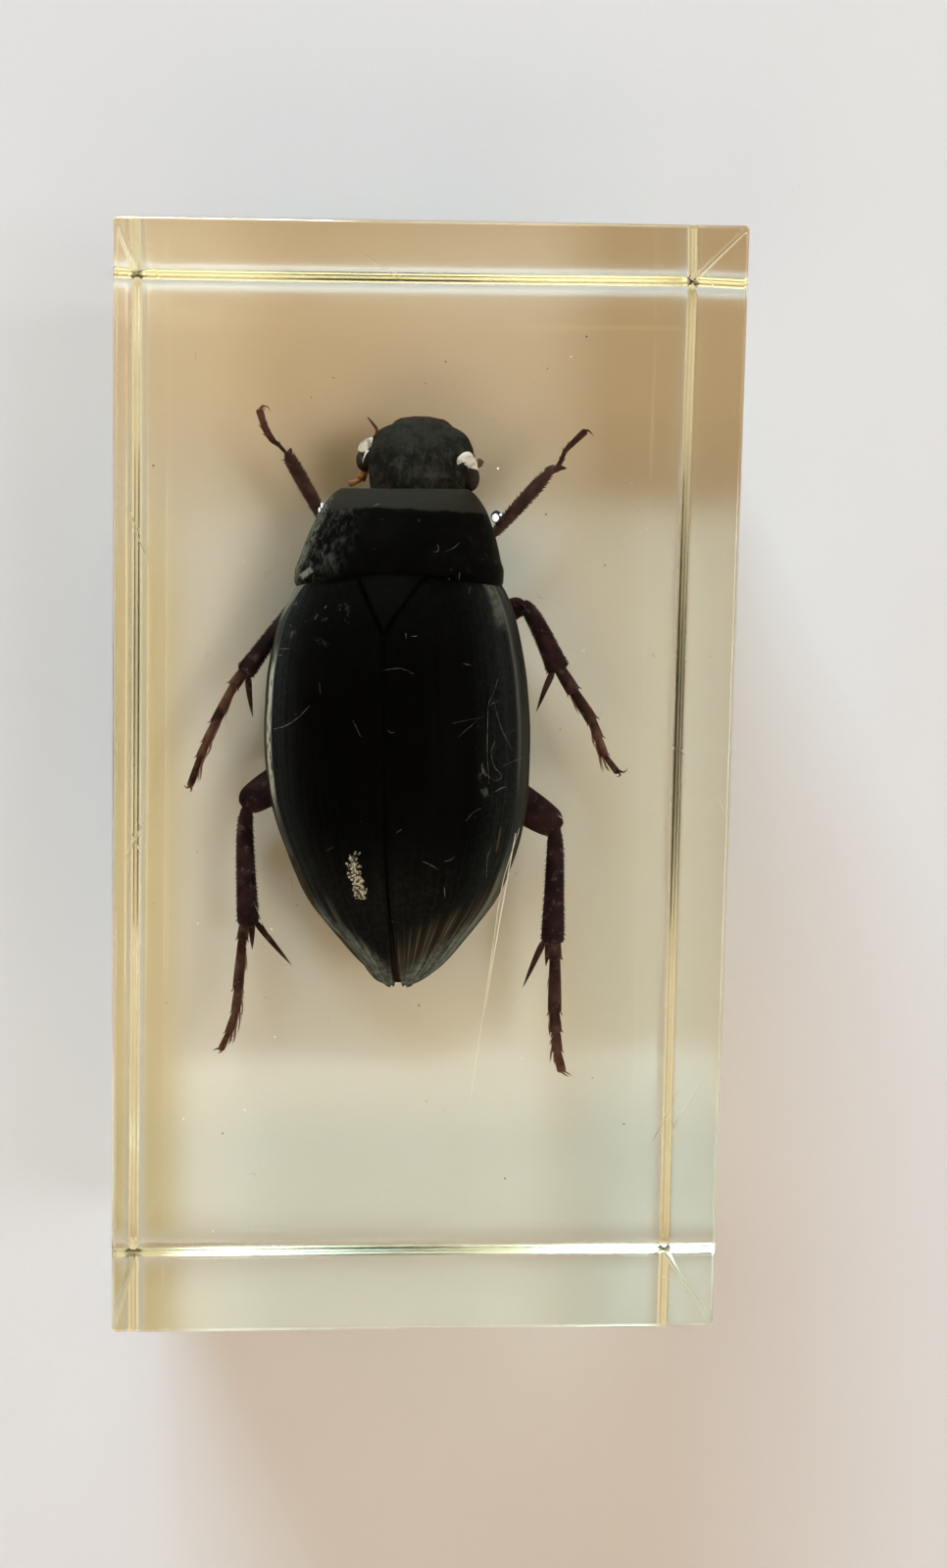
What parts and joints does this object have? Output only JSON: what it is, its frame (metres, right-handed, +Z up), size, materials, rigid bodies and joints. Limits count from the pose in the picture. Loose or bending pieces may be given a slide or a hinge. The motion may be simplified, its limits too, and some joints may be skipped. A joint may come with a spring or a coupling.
{
  "type": "insect in resin block",
  "caption": "Clear resin paperweight block with a large black water scavenger beetle cast in it, resting on its flat underside.",
  "frame": {"origin": "middle of the underside, on the surface that the block rests on", "axes": "+Z up through the top face, +Y along the block towards the beetle's head, +X to the right seen from above"},
  "size_m": [0.042, 0.0744, 0.022],
  "materials": {
    "clear_resin": "polished",
    "black_cuticle": "satin",
    "maroon_cuticle": "satin",
    "amber_cuticle": "satin",
    "air_film": "satin",
    "pale_fibre": "matte",
    "dark_speck": "matte"
  },
  "bodies": {
    "root": {"resin_block": "clear_resin"}
  },
  "joints": []
}
